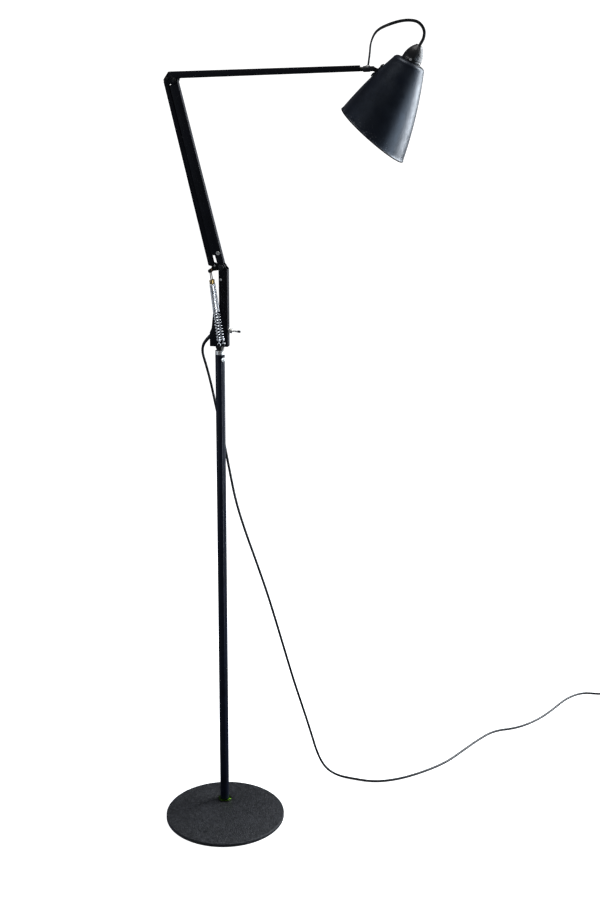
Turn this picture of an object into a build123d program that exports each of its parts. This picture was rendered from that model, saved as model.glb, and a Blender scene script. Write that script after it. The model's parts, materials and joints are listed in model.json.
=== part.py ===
"""Adjustable arm floor lamp: a spring-balanced parallelogram arm on a slim column with a round cast base.

Units are millimetres. The origin is on the column's axis at floor level, +Z is up, +X is the side the arm
reaches to, and -Y is the front. The arm works in the XZ plane.
"""
import os
from math import atan2, cos, degrees, hypot, pi, radians, sin, sqrt, tan

from build123d import *

os.makedirs("parts", exist_ok=True)

# ---- base and column ----
BASE_RADIUS = 140
BASE_CENTRE = (15, -56.5)
FELT_THICKNESS = 1.2
BASE_TOP = 9.7
COLUMN_RADIUS = 10.65
COLUMN_BORE = 8.65
COLUMN_TOP = 1113
COLLAR_TOP = 1122
SET_SCREW_HEIGHT = 1102.4
SET_SCREW_ANGLE = -42

# ---- yoke: a folded bracket on a turned spigot ----
SHEET = 1.5
YOKE_BOTTOM = 1131.5
YOKE_SHOULDER = 1163
YOKE_WEB_TOP = 1302
YOKE_RIGHT = 20
YOKE_LEFT = -20.5
YOKE_INSIDE = 7.8
YOKE_OUTSIDE = YOKE_INSIDE + SHEET
SPIGOT_RADIUS = 8.6
SPIGOT_FOOT = 1060
SWITCH_HEIGHT = 1166
TOGGLE_PIVOT = 2.0
TOGGLE_REST = 12
TOGGLE_SHAFT = 20
TOGGLE_END = 26.5
SIDE_SCREW = (5.8, 1279.3)
EDGE_SCREW_HEIGHT = 1185.6
GLAND_WALL_HEIGHT = 1153.5
GLAND_ANGLE = 45

# ---- linkage ----
PIVOT = (7.5, 1306.5)
ARM_LENGTH = 402
ARM_LEAN = 13.9
TAIL_PIN = (-16, 2)
SPRING_PIN = (-22, -6.5)
LOWER_HALF_WIDTH = 7.0
LINK_HALF_WIDTH = 5.2
UPPER_HALF_WIDTH = 8.7
ROCKER_HALF_WIDTH = 3.5
ARM_SHEET = 1.2
PIVOT_BOLT = 3.0
ELBOW_BOLT = 2.25
TAIL_BOLT = 2.0
RUNNING_GAP = 0.05
UPPER_LENGTH = 389
UPPER_RISE = 2.57
HEAD_AXIS_OFFSET = 7.0

# ---- springs ----
SPRING_RADIUS = 4.65
SPRING_PLANES = (-24.3, -14.3)
SPRING_FEET = ((4.1, 1139), (11.3, 1138.7))
SPRING_STUD = 1.9
EYE_OUTER = 4.3
EYE_WIRE = 0.8
COIL_START = 10
HOOK_LENGTH = 15
ADJUSTER_LENGTH = 9

# ---- head ----
KNUCKLE_START = 396
BARREL_LENGTH = 14
BARREL_RADIUS = 6.2
FLEX_PLACE = 405.5
TILT_AXIS = 415.5
SHADE_TILT = 28.15
MOUTH_CENTRE = (324.8, 1591.2)
MOUTH_SLANT = 11.75
SHADE_FOOT = (86.0, -24)
SHADE_MIDDLE = (67.0, 62.7)
SHADE_SHOULDER = (35.5, 157)
SHADE_HEIGHT = 165.5
SHADE_WALL = 1.0
HOLDER_RADIUS = 14
STRAP_HEIGHT = 118
STRAP_SIZE = (2.0, 12, 34.6)
GLOBE_CENTRE = 62
GLOBE_RADIUS = 30
BULB_CAP_FOOT = 104
CAP_BASE = 166.9
CAP_TOP = 202

# ---- cords ----
CORD_RADIUS = 3.0
CORD_BORE = 3.1
GROMMET_FOOT = 0.3
GROMMET_TOP = 1.5
COIL_CENTRE = (992, 748)
COIL_MIDDLE = 33
COIL_HALF_BAND = 6.2
COIL_BOTTOM = 0.8
COIL_TOP = 13.0
PLUG_BACK = (1017, 647)
PLUG_HEIGHT = 7
PLUG_TURN = -107

MIN_END = (Align.CENTER, Align.CENTER, Align.MIN)
nodes = {}


# ---- shapes that repeat ----
def plate(points, y_front, y_back):
    """A flat plate with the XZ outline given, between two Y planes."""
    face = make_face(Plane.XZ * Polyline(*points, close=True))
    return Pos(0, (y_front + y_back) / 2, 0) * extrude(face, amount=(y_back - y_front) / 2, both=True)


def rod(centre, radius, y_front, y_back):
    """A round rod along Y through an XZ point."""
    x, z = centre
    return Pos(x, y_back, z) * extrude(Plane.XZ * Circle(radius), amount=y_back - y_front)


def ring(centre, outer, inner, y_front, y_back):
    return rod(centre, outer, y_front, y_back) - rod(centre, inner, y_front - 1, y_back + 1)


def belt(discs, y_front, y_back):
    """A plate with the tight outline around several discs, each (centre, radius)."""
    circles = [edge for centre, radius in discs for edge in (Pos(*centre) * Circle(radius)).edges()]
    face = Plane.XZ * make_hull(circles)
    return Pos(0, (y_front + y_back) / 2, 0) * extrude(face, amount=(y_back - y_front) / 2, both=True)


def both_sides(maker, inner, outer):
    """The same plate at the front and at the back, between two distances from the XZ plane."""
    return maker(-outer, -inner) + maker(inner, outer)


def pillar(radius, z0, z1, x=0.0, y=0.0):
    return Pos(x, y, z0) * Cylinder(radius, z1 - z0, align=MIN_END)


def hexagon(across_flats, z0, z1):
    return Pos(0, 0, z0) * extrude(RegularPolygon(across_flats / sqrt(3), 6), amount=z1 - z0)


def turned(points):
    """A solid of revolution about Z from its half outline in XZ."""
    return revolve(make_face(Plane.XZ * Polyline(*points, close=True)), Axis.Z)


def bored(shape, *holes):
    for hole in holes:
        shape -= hole
    return shape


def group(solids):
    return Compound(children=list(solids))


def add(a, b):
    return (a[0] + b[0], a[1] + b[1])


# ---- directions of the two arms and of the head ----
def lower_point(right, along, origin=PIVOT):
    """An XZ place measured to the right of the lower arm and along it."""
    lean = radians(ARM_LEAN)
    return add(origin, (right * cos(lean) - along * sin(lean), right * sin(lean) + along * cos(lean)))


ELBOW = lower_point(0, ARM_LENGTH)
LOWER_TAIL = add(PIVOT, TAIL_PIN)
UPPER_TAIL = add(ELBOW, TAIL_PIN)
SPRING_TOP = add(PIVOT, SPRING_PIN)


def upper_point(along, above, origin=ELBOW):
    """An XZ place measured along the upper arm and above its pins."""
    rise = radians(UPPER_RISE)
    return add(origin, (along * cos(rise) - above * sin(rise), along * sin(rise) + above * cos(rise)))


TILT_PIVOT = upper_point(TILT_AXIS, HEAD_AXIS_OFFSET)
HEAD_AXIS_START = upper_point(0, HEAD_AXIS_OFFSET)
UPPER_PLANE = Plane(
    origin=(HEAD_AXIS_START[0], 0, HEAD_AXIS_START[1]),
    x_dir=(0, 1, 0),
    z_dir=(cos(radians(UPPER_RISE)), 0, sin(radians(UPPER_RISE))),
)
HEAD_PLANE = Plane(
    origin=(MOUTH_CENTRE[0], 0, MOUTH_CENTRE[1]),
    x_dir=(cos(radians(SHADE_TILT)), 0, -sin(radians(SHADE_TILT))),
    z_dir=(sin(radians(SHADE_TILT)), 0, cos(radians(SHADE_TILT))),
)
FLEX_X, FLEX_Z = upper_point(FLEX_PLACE, HEAD_AXIS_OFFSET + BARREL_RADIUS)
GLAND_WAY = Pos(YOKE_LEFT, 0, GLAND_WALL_HEIGHT) * Rot(0, 180 + 90 - GLAND_ANGLE, 0)
GLAND_REACH = 5


# ---- base and column ----
def stand():
    nodes["felt_pad"] = pillar(BASE_RADIUS - 4, 0, FELT_THICKNESS, *BASE_CENTRE)

    disc = pillar(BASE_RADIUS, FELT_THICKNESS, BASE_TOP, *BASE_CENTRE)
    disc = chamfer(disc.edges().sort_by(Axis.Z)[-1], 1.4)
    nodes["base_disc"] = disc - pillar(COLUMN_RADIUS, 0, BASE_TOP + 1)

    washer_top = BASE_TOP + 1.5
    nut_top = BASE_TOP + 4.5
    clear = COLUMN_RADIUS + RUNNING_GAP
    nodes["foot_washer"] = pillar(17.5, BASE_TOP, washer_top) - pillar(clear, 0, nut_top + 1)
    nut = hexagon(29, washer_top, nut_top) & pillar(16.4, washer_top, nut_top)
    nodes["foot_lock_nut"] = nut - pillar(clear, 0, nut_top + 1)

    screw_way = Rot(0, 0, SET_SCREW_ANGLE) * Pos(0, 0, SET_SCREW_HEIGHT) * Rot(0, 90, 0)
    tube = pillar(COLUMN_RADIUS, FELT_THICKNESS, COLUMN_TOP) - pillar(COLUMN_BORE, 0, COLUMN_TOP + 1)
    nodes["column_tube"] = tube - screw_way * pillar(2.45, 5, 15)

    collar = pillar(COLUMN_RADIUS, COLUMN_TOP, COLLAR_TOP)
    collar = chamfer(collar.edges().sort_by(Axis.Z)[-1], 0.8)
    for groove in (COLLAR_TOP - 3.4, COLLAR_TOP - 6.4):
        collar -= pillar(COLUMN_RADIUS + 1, groove, groove + 0.9) - pillar(COLUMN_RADIUS - 0.8, 0, 2000)
    nodes["top_collar"] = collar - pillar(COLUMN_BORE, 0, COLLAR_TOP + 1)

    head = pillar(5.2, 11.2, 13.4)
    head = chamfer(head.edges().sort_by(Axis.Z)[-1], 0.7) - Pos(0, 0, 13.4) * Box(14, 1.4, 2.0)
    nodes["set_screw"] = screw_way * (pillar(2.4, 7.4, 11.2) + head)


# ---- yoke ----
def yoke_bracket():
    cheek = [
        (YOKE_RIGHT, YOKE_BOTTOM), (YOKE_RIGHT, YOKE_WEB_TOP), (15.6, 1307), (8, 1307), (0.6, YOKE_WEB_TOP),
        (1.2, 1228), (-12, 1209), (-16.3, 1172), (YOKE_LEFT, YOKE_SHOULDER), (YOKE_LEFT, YOKE_BOTTOM),
    ]

    def wall(x0, x1, z0, z1):
        return plate([(x0, z0), (x1, z0), (x1, z1), (x0, z1)], -YOKE_OUTSIDE, YOKE_OUTSIDE)

    bracket = both_sides(lambda a, b: plate(cheek, a, b) + rod(PIVOT, 7.6, a, b), YOKE_INSIDE, YOKE_OUTSIDE)
    bracket += wall(YOKE_RIGHT - SHEET, YOKE_RIGHT, YOKE_BOTTOM, YOKE_WEB_TOP)
    bracket += wall(YOKE_LEFT, YOKE_RIGHT, YOKE_BOTTOM, YOKE_BOTTOM + SHEET)
    bracket += wall(YOKE_LEFT, YOKE_LEFT + SHEET, YOKE_BOTTOM, YOKE_SHOULDER)
    long_bends = bracket.edges().filter_by(Axis.Z).filter_by(
        lambda edge: abs(edge.center().X - YOKE_RIGHT) < 0.01 and abs(edge.center().Y) > YOKE_INSIDE)
    bracket = fillet(long_bends, 1.2)
    side_hole = Pos(YOKE_RIGHT, 0, 0) * Rot(0, 90, 0)
    return bored(
        bracket,
        rod(PIVOT, PIVOT_BOLT + RUNNING_GAP, -20, 20),
        Pos(0, 0, SWITCH_HEIGHT) * side_hole * pillar(5.25, -4, 4),
        Pos(0, 0, EDGE_SCREW_HEIGHT) * side_hole * pillar(1.5, -4, 4),
        GLAND_WAY * pillar(4.25, -9, 9),
        pillar(5.05, YOKE_BOTTOM - 1, YOKE_BOTTOM + 5),
        rod(SIDE_SCREW, 1.5, -20, 0),
        *[rod(foot, SPRING_STUD, -20, 0) for foot in SPRING_FEET],
    )


def yoke():
    nodes["yoke_bracket"] = yoke_bracket()

    foot = pillar(SPIGOT_RADIUS, SPIGOT_FOOT, COLLAR_TOP + 0.3)
    foot = chamfer(foot.edges().sort_by(Axis.Z)[0], 1.0)
    shoulder = pillar(7.4, COLLAR_TOP + 0.3, YOKE_BOTTOM) + hexagon(17, COLLAR_TOP + 3.5, YOKE_BOTTOM)
    spigot = foot + shoulder + pillar(5.0, YOKE_BOTTOM, YOKE_BOTTOM + 10)
    groove = pillar(12, SET_SCREW_HEIGHT - 3.2, SET_SCREW_HEIGHT + 3.2) - pillar(7.2, 1000, 1200)
    nodes["swivel_spigot"] = spigot - groove
    nut_base = YOKE_BOTTOM + SHEET
    nodes["spigot_nut"] = hexagon(13, nut_base, nut_base + 6) - pillar(5.05, 1100, 1200)

    front = -YOKE_OUTSIDE
    nodes["pivot_bolt"] = rod(PIVOT, PIVOT_BOLT, front - 6.4, YOKE_OUTSIDE) + rod(
        PIVOT, 5.5, YOKE_OUTSIDE, YOKE_OUTSIDE + 3.6)
    nut = Pos(PIVOT[0], front - 0.7, PIVOT[1]) * Rot(90, 0, 0) * hexagon(10, 0, 4.4)
    nodes["pivot_nut"] = nut - rod(PIVOT, PIVOT_BOLT + RUNNING_GAP, -30, 0)

    hole = PIVOT_BOLT + RUNNING_GAP
    nodes["pivot_bushes"] = group(ring(PIVOT, 5.0, hole, s * 4.65 - 0.85, s * 4.65 + 0.85) for s in (-1, 1))
    washers = [ring(PIVOT, 6.0, hole, s * 7.4 - 0.15, s * 7.4 + 0.15) for s in (-1, 1)]
    nodes["pivot_washers"] = group([*washers, ring(PIVOT, 5.9, hole, front - 0.7, front)])
    nodes["spring_studs"] = group(
        rod(foot, SPRING_STUD, y - 2.4, -YOKE_INSIDE) + rod(foot, 3.0, y - 3.6, y - 2.4)
        for foot, y in zip(SPRING_FEET, SPRING_PLANES))

    side_way = Pos(SIDE_SCREW[0], front, SIDE_SCREW[1]) * Rot(90, 0, 0)
    edge_way = Pos(YOKE_RIGHT, 0, EDGE_SCREW_HEIGHT) * Rot(0, 90, 0)
    for name, way in (("side_screw", side_way), ("edge_screw", edge_way)):
        screw_head = chamfer(pillar(2.6, 0, 1.6).edges().sort_by(Axis.Z)[-1], 0.5)
        nodes[name] = way * (pillar(1.45, -4, 0) + screw_head)

    nodes["cord_gland"] = GLAND_WAY * (pillar(4.2, -6, GLAND_REACH) - pillar(CORD_BORE, -7, GLAND_REACH + 1))


def toggle_switch():
    axis = Pos(YOKE_RIGHT, 0, SWITCH_HEIGHT) * Rot(0, 90, 0)
    body = Pos(YOKE_RIGHT - SHEET - 6.5, 0, SWITCH_HEIGHT) * Box(13, 14, 26)
    nodes["switch_body"] = chamfer(body.edges().filter_by(Axis.X), 1.0)
    nodes["switch_barrel"] = axis * (pillar(5.2, -SHEET, 8.5) - pillar(3.4, -SHEET - 1, 10))
    nodes["switch_nut"] = axis * (hexagon(13, 0, 2.6) - pillar(5.25, -1, 4))
    lever_way = axis * Pos(0, 0, TOGGLE_PIVOT) * Rot(TOGGLE_REST, 0, 0)
    shaft = Pos(0, 0, 1.0) * Cone(1.5, 2.0, TOGGLE_SHAFT - 1.0, align=MIN_END)
    nodes["toggle_lever"] = lever_way * (shaft + Sphere(2.6))
    tip = pillar(2.6, TOGGLE_SHAFT, TOGGLE_END)
    nodes["toggle_tip"] = lever_way * fillet(tip.edges().sort_by(Axis.Z)[-1], 1.8)


# ---- linkage ----
def rocker():
    half = ROCKER_HALF_WIDTH
    body = belt([(PIVOT, 6.2), (LOWER_TAIL, 5.2), (SPRING_TOP, 3.6)], -half, half)
    nodes["rocker"] = bored(
        body, rod(PIVOT, PIVOT_BOLT + RUNNING_GAP, -9, 9), rod(LOWER_TAIL, TAIL_BOLT, -9, 9),
        rod(SPRING_TOP, TAIL_BOLT, -9, 9))
    nodes["lower_tail_pin"] = rod(LOWER_TAIL, TAIL_BOLT, -LINK_HALF_WIDTH - 0.4, LINK_HALF_WIDTH + 0.4)
    reach = SPRING_PLANES[0] - 1.6
    nodes["spring_pin"] = rod(SPRING_TOP, TAIL_BOLT, reach, half) + rod(SPRING_TOP, 3.1, reach - 1.2, reach)
    bore = TAIL_BOLT + RUNNING_GAP
    nodes["spring_eyes"] = group(
        ring(SPRING_TOP, EYE_OUTER, bore, y - EYE_WIRE, y + EYE_WIRE) for y in SPRING_PLANES)


def springs():
    adjusters, hook_rods = [], []
    for index, (foot, y) in enumerate(zip(SPRING_FEET, SPRING_PLANES), start=1):
        run = Vector(SPRING_TOP[0] - foot[0], 0, SPRING_TOP[1] - foot[1])
        way = Plane(origin=(foot[0], y, foot[1]), x_dir=(0, 1, 0), z_dir=run.normalized())
        rod_end = run.length - EYE_OUTER - 0.1
        rod_start = run.length - HOOK_LENGTH - EYE_OUTER
        coil_end = rod_start - ADJUSTER_LENGTH
        coil = pillar(SPRING_RADIUS, COIL_START, coil_end)
        coil -= pillar(SPRING_RADIUS - 1.5, COIL_START + 2, coil_end - 2)
        hook = pillar(EYE_WIRE, EYE_OUTER - 0.4, COIL_START)
        eye = ring(foot, EYE_OUTER, SPRING_STUD + RUNNING_GAP, y - EYE_WIRE, y + EYE_WIRE)
        nodes[f"spring_{index}"] = way * (coil + hook) + eye
        adjusters.append(way * pillar(4.2, coil_end, rod_start))
        hook_rods.append(way * pillar(1.1, rod_start, rod_end))
    nodes["spring_adjusters"] = group(adjusters)
    nodes["spring_hook_rods"] = group(hook_rods)


def lower_arm():
    top = ARM_LENGTH
    at = lower_point
    flange = [
        at(6.2, -2), at(4.0, top + 3), at(-4, top + 3), at(-8, top - 7), at(-14.2, top - 9.5), at(-16, 29),
        at(-8.8, 28), at(-8, 12), at(-6, 0),
    ]
    web = [at(6.2, 7), at(4.0, top + 3), at(4.0 - ARM_SHEET, top + 3), at(6.2 - ARM_SHEET, 7)]
    inner = LOWER_HALF_WIDTH - ARM_SHEET
    channel = both_sides(
        lambda a, b: plate(flange, a, b) + rod(PIVOT, 6.6, a, b) + rod(ELBOW, 4.8, a, b),
        inner, LOWER_HALF_WIDTH)
    channel += plate(web, -LOWER_HALF_WIDTH, LOWER_HALF_WIDTH)
    rivet_place = at(-0.6, 30.6)
    nodes["lower_arm_channel"] = bored(
        channel, rod(PIVOT, PIVOT_BOLT + RUNNING_GAP, -20, 20), rod(ELBOW, ELBOW_BOLT, -20, 20),
        rod(rivet_place, 2.4, -20, 20))

    rivet = ring(rivet_place, 2.4, 1.4, -LOWER_HALF_WIDTH, LOWER_HALF_WIDTH)
    rivet += both_sides(
        lambda a, b: ring(rivet_place, 4.2, 1.4, a, b), LOWER_HALF_WIDTH, LOWER_HALF_WIDTH + 0.5)
    nodes["cross_rivet"] = rivet

    side = UPPER_HALF_WIDTH
    nodes["elbow_pin"] = rod(ELBOW, ELBOW_BOLT, -side - 0.3, side + 0.3) + both_sides(
        lambda a, b: rod(ELBOW, 3.8, a, b), side + 0.3, side + 2.2)


def link_bar():
    top = ARM_LENGTH
    inner = LINK_HALF_WIDTH - ARM_SHEET

    def at(right, along):
        return lower_point(right, along, LOWER_TAIL)

    flange = [
        at(-13.6, 4), at(-10.8, top - 4), at(-1.2, top - 12), at(-1.2, 9), at(-3, 0), at(-5.2, -1)]
    web = [at(-13.6, 4), at(-10.8, top - 4), at(-10.8 + ARM_SHEET, top - 4), at(-13.6 + ARM_SHEET, 4)]

    def flanges(a, b):
        lower_ear = belt([(LOWER_TAIL, 5.6), (at(-8.4, 8), 2.5)], a, b)
        upper_ear = belt([(UPPER_TAIL, 5.0), (at(-5.5, top - 9), 3.5)], a, b)
        return plate(flange, a, b) + lower_ear + upper_ear

    channel = both_sides(flanges, inner, LINK_HALF_WIDTH) + plate(web, -LINK_HALF_WIDTH, LINK_HALF_WIDTH)
    place = at(-9.5, 20)
    nodes["link_bar_channel"] = bored(
        channel, rod(LOWER_TAIL, TAIL_BOLT + RUNNING_GAP, -20, 20), rod(UPPER_TAIL, TAIL_BOLT + 0.3, -20, 20),
        rod(place, 1.5, -20, 0))
    nodes["link_rivet"] = rod(place, 1.45, -LINK_HALF_WIDTH, -inner) + rod(
        place, 2.3, -LINK_HALF_WIDTH - 0.5, -LINK_HALF_WIDTH)


def upper_arm():
    at = upper_point
    end = UPPER_LENGTH
    cheek = [
        at(-25.0, -0.4), at(-13.2, 16.2), at(end, 14.7), at(end, 2.5), at(7, 1.8), at(5.5, -4.5),
        at(-2, -9.5), at(-19, -9.5)]
    web = [at(-13.2, 16.2), at(end, 14.7), at(end, 14.7 - ARM_SHEET), at(-13.2, 16.2 - ARM_SHEET)]
    side = UPPER_HALF_WIDTH
    inner = side - ARM_SHEET
    channel = both_sides(
        lambda a, b: plate(cheek, a, b) + rod(ELBOW, 6.0, a, b) + rod(UPPER_TAIL, 6.0, a, b), inner, side)
    channel += plate(web, -side, side)
    nodes["upper_arm_channel"] = bored(
        channel, rod(ELBOW, ELBOW_BOLT + RUNNING_GAP, -20, 20), rod(UPPER_TAIL, TAIL_BOLT, -20, 20))
    nodes["upper_tail_pin"] = rod(UPPER_TAIL, TAIL_BOLT, -side, side) + both_sides(
        lambda a, b: rod(UPPER_TAIL, 3.4, a, b), side, side + 1.2)
    nodes["tail_spacers"] = group(
        ring(UPPER_TAIL, 3.4, TAIL_BOLT + RUNNING_GAP, s * 6.5 - 0.8, s * 6.5 + 0.8) for s in (-1, 1))

    block = UPPER_PLANE * Pos(0, 0, end - 17) * Box(2 * inner, 9, 17, align=MIN_END)
    bore = UPPER_PLANE * pillar(3.05, end - 20, end + 20)
    nodes["arm_end_block"] = block - bore
    nodes["arm_end_ferrule"] = UPPER_PLANE * pillar(4.6, end, KNUCKLE_START - 0.3) - bore


# ---- head ----
def knuckle():
    barrel_end = KNUCKLE_START + BARREL_LENGTH
    barrel = pillar(BARREL_RADIUS, KNUCKLE_START, barrel_end)
    barrel = chamfer(barrel.edges().sort_by(Axis.Z)[0], 0.8)
    body = UPPER_PLANE * (barrel + pillar(3.0, KNUCKLE_START - 22, KNUCKLE_START))
    root = upper_point(barrel_end - 1.5, HEAD_AXIS_OFFSET)
    body += both_sides(lambda a, b: belt([(TILT_PIVOT, 5.2), (root, 5.2)], a, b), 3.0, 5.0)
    flex_way = Pos(FLEX_X, 0, FLEX_Z)
    nodes["knuckle"] = bored(body, rod(TILT_PIVOT, 1.6, -20, 20), flex_way * pillar(CORD_BORE, -6, 4))
    nodes["tilt_screw"] = rod(TILT_PIVOT, 1.55, -5, 5) + both_sides(
        lambda a, b: rod(TILT_PIVOT, 3.2, a, b), 5.0, 7.0)
    nodes["flex_grommet"] = flex_way * pillar(4.0, GROMMET_FOOT, GROMMET_TOP)


def shade_bell(shrink):
    """The solid bell inside the shade's skin, made thinner all over by the amount given."""
    foot = (SHADE_FOOT[0] - shrink, SHADE_FOOT[1])
    middle = (SHADE_MIDDLE[0] - shrink, SHADE_MIDDLE[1])
    shoulder = (SHADE_SHOULDER[0] - shrink, SHADE_SHOULDER[1])
    bend = (SHADE_SHOULDER[0] - 2.6 - shrink, SHADE_SHOULDER[1] + 5.6 - shrink)
    top = (SHADE_SHOULDER[0] - 9, SHADE_HEIGHT - shrink)
    outline = [
        Line((0, foot[1]), foot), ThreePointArc(foot, middle, shoulder), ThreePointArc(shoulder, bend, top),
        Line(top, (0, top[1])), Line((0, top[1]), (0, foot[1])),
    ]
    return revolve(make_face(Plane.XZ * Curve(outline)), Axis.Z)


def shade_radius_and_slope(height):
    """Radius of the shade's side and its lean from the axis in degrees, from the arc through three points."""
    (x1, y1), (x2, y2), (x3, y3) = SHADE_FOOT, SHADE_MIDDLE, SHADE_SHOULDER
    a, b, c, d = x2 - x1, y2 - y1, x3 - x1, y3 - y1
    e = a * (x1 + x2) + b * (y1 + y2)
    f = c * (x1 + x3) + d * (y1 + y3)
    g = 2 * (a * (y3 - y2) - b * (x3 - x2))
    centre_x, centre_y = (d * e - b * f) / g, (a * f - c * e) / g
    rise = height - centre_y
    reach = sqrt(hypot(x1 - centre_x, y1 - centre_y) ** 2 - rise ** 2)
    return centre_x + reach, degrees(atan2(rise, reach))


def head():
    radius, lean = shade_radius_and_slope(STRAP_HEIGHT)
    strap_way = Pos(-radius, 0, STRAP_HEIGHT) * Rot(0, lean, 0) * Rot(0, -90, 0)
    thickness, width, length = STRAP_SIZE
    seat = 0.45
    rivets = [Pos(side * 12, 0, 0) for side in (-1, 1)]
    rivet_hole = [strap_way * place * pillar(1.55, -6, 6) for place in rivets]

    below_mouth = Rot(0, MOUTH_SLANT, 0) * Pos(0, 0, -60) * Box(300, 300, 120)
    shell = shade_bell(0) - shade_bell(SHADE_WALL) - pillar(HOLDER_RADIUS, 150, 170) - below_mouth
    nodes["shade"] = HEAD_PLANE * bored(shell, *rivet_hole)

    strap = Pos(0, 0, seat) * Box(length, width, thickness, align=MIN_END)
    strap = chamfer(strap.edges().filter_by(Axis.Z), 2.0)
    nodes["shade_strap"] = HEAD_PLANE * bored(strap_way * strap, *rivet_hole)
    pin = pillar(1.5, -2.0, seat + thickness) + pillar(2.8, seat + thickness, seat + thickness + 1.2)
    nodes["strap_rivets"] = HEAD_PLANE * group(
        strap_way * place * (pin + pillar(2.8, -3.0, -2.0)) for place in rivets)

    pivot = HEAD_PLANE.to_local_coords(Vector(TILT_PIVOT[0], 0, TILT_PIVOT[1]))
    strap_middle = (-radius, STRAP_HEIGHT)
    stem = belt([((pivot.X, pivot.Z), 4.4), (strap_middle, 4.0)], -2.7, 2.7)
    behind_strap = Pos(0, 0, seat + thickness - 20) * Box(80, 40, 40)
    nodes["head_stem"] = HEAD_PLANE * bored(
        stem, strap_way * behind_strap, rod((pivot.X, pivot.Z), 1.6, -20, 20))

    cap = [
        (CORD_BORE, CAP_BASE + 12), (CORD_BORE, CAP_TOP), (6.5, CAP_TOP), (11.6, CAP_TOP - 7),
        (16.2, CAP_TOP - 15.5), (19.2, CAP_BASE + 10), (20.4, CAP_BASE + 4), (20.6, CAP_BASE),
        (15.5, CAP_BASE), (15.5, CAP_BASE + 6), (9, CAP_BASE + 12)]
    screw_way = Pos(0, -20.0, CAP_BASE + 3.6) * Rot(90, 0, 0)
    nodes["cap"] = HEAD_PLANE * (turned(cap) - screw_way * pillar(1.6, -8, 4))
    nodes["cap_screw"] = HEAD_PLANE * screw_way * (pillar(1.5, -3.6, 0.8) + pillar(2.6, 0.8, 2.0))
    nodes["cap_seat"] = HEAD_PLANE * (pillar(21.4, SHADE_HEIGHT, CAP_BASE) - pillar(HOLDER_RADIUS, 150, 170))

    holder = pillar(15.5, 118, SHADE_HEIGHT - SHADE_WALL)
    holder += pillar(HOLDER_RADIUS - 0.1, SHADE_HEIGHT - 2, CAP_BASE + 4)
    holder -= pillar(13.2, 110, 146)
    nodes["lampholder"] = HEAD_PLANE * (holder - pillar(CORD_BORE, 100, 200))
    nodes["bulb_cap"] = HEAD_PLANE * (pillar(12.9, BULB_CAP_FOOT, 138) + pillar(6, 138, 141))
    globe = Pos(0, 0, GLOBE_CENTRE) * Sphere(GLOBE_RADIUS)
    neck_foot = GLOBE_CENTRE + 14
    neck = Pos(0, 0, neck_foot) * Cone(26.3, 12.9, BULB_CAP_FOOT - neck_foot, align=MIN_END)
    nodes["bulb_glass"] = HEAD_PLANE * (globe + neck)


# ---- cords ----
def bend_radii(points):
    """The largest arc for each corner: 0.45 of the shorter run over the tangent of half the turn."""
    radii = []
    for before, here, after in zip(points, points[1:], points[2:]):
        arrive, leave = Vector(*here) - Vector(*before), Vector(*after) - Vector(*here)
        turn = arrive.get_angle(leave)
        radii.append(0.45 * min(arrive.length, leave.length) / tan(radians(turn / 2)))
    return radii


def cord_tube(name, points, radius):
    radii = bend_radii(points)
    path = FilletPolyline(*points, radius=radii)
    start = Plane(origin=path @ 0, z_dir=path % 0)
    tube = sweep(start * Circle(radius), path=path)
    section = pi * radius ** 2
    print(name, "length", round(path.length), "volume ratio", round(tube.volume / (section * path.length), 4))
    print("   radii", [round(r) for r in radii])
    runs = [(Vector(*b) - Vector(*a)).length for a, b in zip(points, points[1:])]
    print("   runs", [round(r) for r in runs])
    nodes[name] = tube


def gland_exit():
    spot = (GLAND_WAY * Pos(0, 0, GLAND_REACH + 0.3)).position
    return (spot.X, spot.Y, spot.Z)


MAINS_ROUTE = [
    (-34.15, 0.2, 1139.85), (-39.6, 0.7, 1126.95), (-39.9, 1.6, 1112.95), (-36.8, 3.6, 1099.5),
    (-31, 7, 1076), (-23.5, 11.5, 1040), (-17, 17, 999), (-8, 22.5, 950),
    (3, 26.5, 892), (13, 30, 830), (25, 35, 760), (44, 42, 690), (68, 52, 612), (92, 65, 528), (112, 80, 444),
    (131, 95, 361), (150, 111, 278), (170, 129, 198), (186, 146, 128), (199, 158, 70), (217, 166, 28),
    (246, 170, 6), (286, 166, 3), (344, 160, 3), (404, 186, 3), (464, 238, 3), (513, 295, 3), (548, 360, 3),
    (583, 426, 3), (622, 487, 3), (683, 514, 3), (737, 573, 3), (775, 640, 3), (812, 718, 3), (856, 764, 3),
    (905, 764, 3), (942, 772, 3.4), (972, 782, 3.8),
]
TAIL_ROUTE = [
    (1028, 744, 9.8), (1031, 724, 8.4), (1031, 702, 3.6), (1027, 682, 3.0), (1022, 664, 5.2), (1017, 647, 7),
]


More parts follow.
